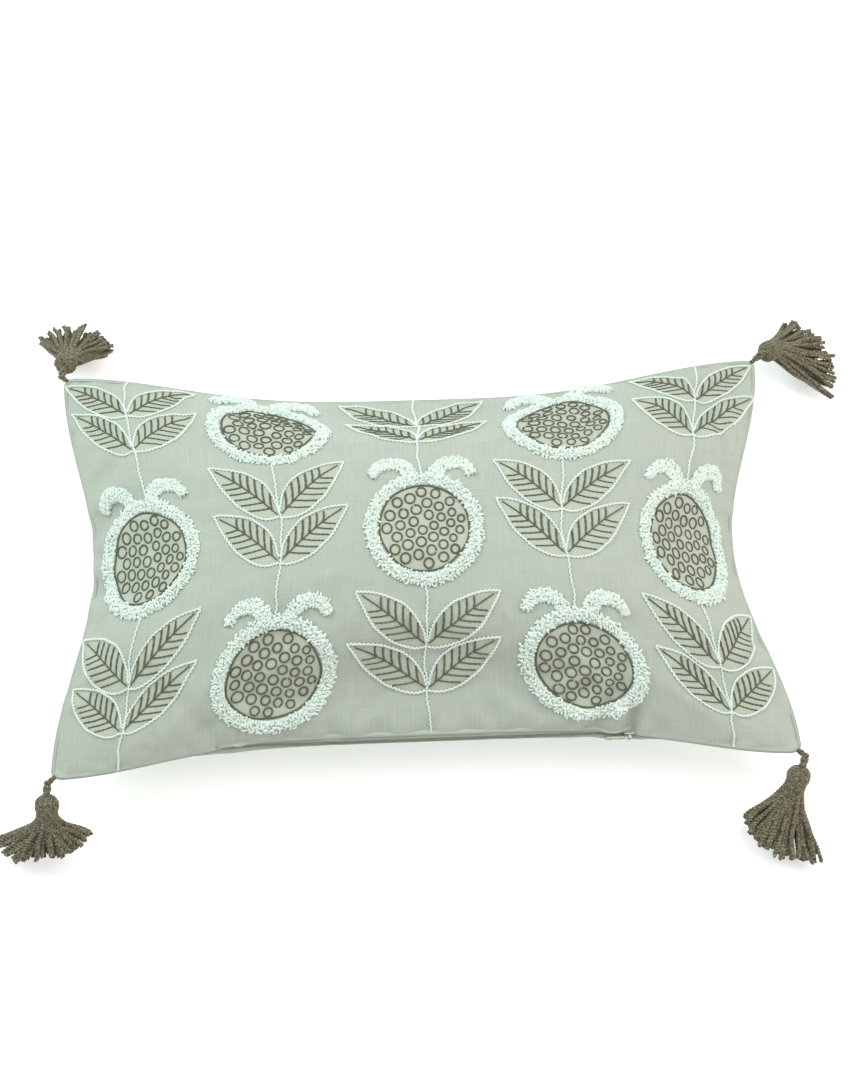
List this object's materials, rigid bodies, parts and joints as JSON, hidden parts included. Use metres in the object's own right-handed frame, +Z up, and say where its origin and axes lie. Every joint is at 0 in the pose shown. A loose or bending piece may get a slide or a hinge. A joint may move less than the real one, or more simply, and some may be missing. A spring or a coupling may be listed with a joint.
{
  "type": "throw pillow",
  "caption": "Oblong throw pillow with an embroidered flower and leaf front, a zipped lower seam, a fibre-filled insert and a tassel hanging from each corner.",
  "frame": {"origin": "centre of the flat patch that the pillow rests on", "axes": "+X along the width, +Y from the zipped seam to the far seam, +Z up out of the embroidered front"},
  "size_m": [0.5838, 0.4252, 0.1113],
  "materials": {
    "front_cloth": "slubbed sage chambray weave",
    "back_cloth": "plain sage chambray weave",
    "seam_thread": "polyester sewing thread",
    "casing_cloth": "thin white nonwoven casing",
    "casing_thread": "white sewing thread",
    "fibre_fill": "white polyester fibre",
    "zip_tape": "woven zip tape, sage",
    "zip_coil": "nylon coil, sage",
    "zip_metal": "small cast zip metal, dull",
    "white_yarn": "off-white looped embroidery yarn",
    "brown_yarn": "brown embroidery thread",
    "tassel_yarn": "taupe two-ply yarn"
  },
  "bodies": {
    "pillow": {"front_panel": "front_cloth", "back_panel": "back_cloth", "seam_thread": "seam_thread", "insert_casing_front": "casing_cloth", "insert_casing_back": "casing_cloth", "insert_thread": "casing_thread", "fibre_fill": "fibre_fill", "zip_tape_upper": "zip_tape", "zip_tape_lower": "zip_tape", "zip_coil_upper": "zip_coil", "zip_coil_lower": "zip_coil", "zip_top_stop": "zip_metal", "zip_bottom_stop": "zip_metal", "stem_stitch": "white_yarn", "leaf_outline_stitch": "white_yarn", "leaf_vein_stitch": "brown_yarn", "flower_outline_stitch": "brown_yarn", "seed_stitch": "brown_yarn", "tufted_ring": "white_yarn", "tufted_horns": "white_yarn", "anchor_far_left": "tassel_yarn", "anchor_far_right": "tassel_yarn", "anchor_near_left": "tassel_yarn", "anchor_near_right": "tassel_yarn"},
    "zip_slider": {"zip_slider": "zip_metal"},
    "zip_pull": {"zip_pull": "zip_metal"},
    "loop_far_left": {"loop_far_left": "tassel_yarn"},
    "tassel_far_left": {"tassel_head_far_left": "tassel_yarn", "neck_binding_far_left": "tassel_yarn", "skirt_far_left": "tassel_yarn"},
    "loop_far_right": {"loop_far_right": "tassel_yarn"},
    "tassel_far_right": {"tassel_head_far_right": "tassel_yarn", "neck_binding_far_right": "tassel_yarn", "skirt_far_right": "tassel_yarn"},
    "loop_near_left": {"loop_near_left": "tassel_yarn"},
    "tassel_near_left": {"tassel_head_near_left": "tassel_yarn", "neck_binding_near_left": "tassel_yarn", "skirt_near_left": "tassel_yarn"},
    "loop_near_right": {"loop_near_right": "tassel_yarn"},
    "tassel_near_right": {"tassel_head_near_right": "tassel_yarn", "neck_binding_near_right": "tassel_yarn", "skirt_near_right": "tassel_yarn"}
  },
  "joints": [
    {"name": "zip_slide", "type": "slide", "parent": "pillow", "child": "zip_slider", "axis": [1, 0, 0], "range_m": [-0.262, 0]},
    {"name": "zip_pull_flip", "type": "hinge", "parent": "zip_slider", "child": "zip_pull", "pos_m": [0.1312, -0.1289, 0.046], "axis": [0, 0, 1], "range_deg": [0, 120]},
    {"name": "loop_far_left_swing", "type": "hinge", "parent": "pillow", "child": "loop_far_left", "pos_m": [-0.24526, 0.14526, 0.046], "axis": [0, 0, 1], "range_deg": [-20, 130]},
    {"name": "tassel_far_left_tip", "type": "hinge", "parent": "loop_far_left", "child": "tassel_far_left", "pos_m": [-0.24413, 0.15166, 0.046], "axis": [-0.9848, 0.1736, 0], "range_deg": [-123, 57]},
    {"name": "loop_far_right_swing", "type": "hinge", "parent": "pillow", "child": "loop_far_right", "pos_m": [0.24526, 0.14526, 0.046], "axis": [0, 0, 1], "range_deg": [-65, 85]},
    {"name": "tassel_far_right_tip", "type": "hinge", "parent": "loop_far_right", "child": "tassel_far_right", "pos_m": [0.25059, 0.14899, 0.046], "axis": [-0.5736, 0.8192, 0], "range_deg": [-123, 57]},
    {"name": "loop_near_left_swing", "type": "hinge", "parent": "pillow", "child": "loop_near_left", "pos_m": [-0.24526, -0.14526, 0.046], "axis": [0, 0, 1], "range_deg": [-116, 34]},
    {"name": "tassel_near_left_tip", "type": "hinge", "parent": "loop_near_left", "child": "tassel_near_left", "pos_m": [-0.24572, -0.15175, 0.046], "axis": [0.9976, -0.0698, 0], "range_deg": [-123, 57]},
    {"name": "loop_near_right_swing", "type": "hinge", "parent": "pillow", "child": "loop_near_right", "pos_m": [0.24526, -0.14526, 0.046], "axis": [0, 0, 1], "range_deg": [-8, 142]},
    {"name": "tassel_near_right_tip", "type": "hinge", "parent": "loop_near_right", "child": "tassel_near_right", "pos_m": [0.24283, -0.15129, 0.046], "axis": [0.9272, -0.3746, 0], "range_deg": [-123, 57]}
  ]
}
